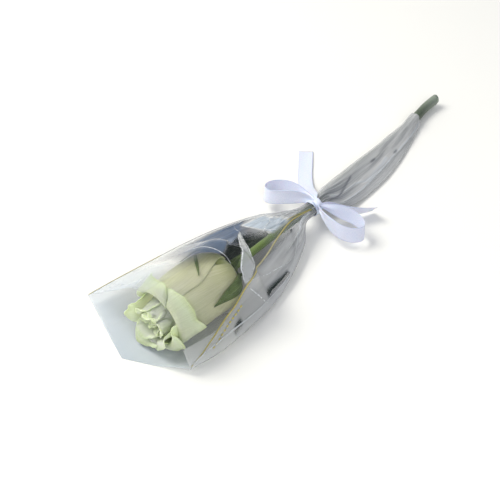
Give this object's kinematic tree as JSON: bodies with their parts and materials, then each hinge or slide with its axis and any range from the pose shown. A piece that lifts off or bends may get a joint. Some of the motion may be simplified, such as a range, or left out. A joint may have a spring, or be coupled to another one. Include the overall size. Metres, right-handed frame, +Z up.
{
  "type": "wrapped single rose",
  "caption": "Single cut rose, half open, lying in a clear film sleeve that is gathered round the stem and tied with a satin ribbon bow.",
  "frame": {"origin": "on the table, under the middle of the object's box", "axes": "+X along the rose from the bloom to the cut end, +Y to the far side of the sleeve as seen in the picture, +Z up"},
  "size_m": [0.393, 0.1193, 0.0552],
  "materials": {
    "petal": "satin",
    "sepal_green": "matte",
    "stem_green": "satin",
    "leaf_green": "satin",
    "film": "gloss",
    "satin": "satin"
  },
  "bodies": {
    "root": {"bloom": "petal", "calyx": "sepal_green", "stem": "stem_green", "leaf_far": "leaf_green", "leaf_near": "leaf_green", "sleeve": "film", "ribbon": "satin"}
  },
  "joints": []
}
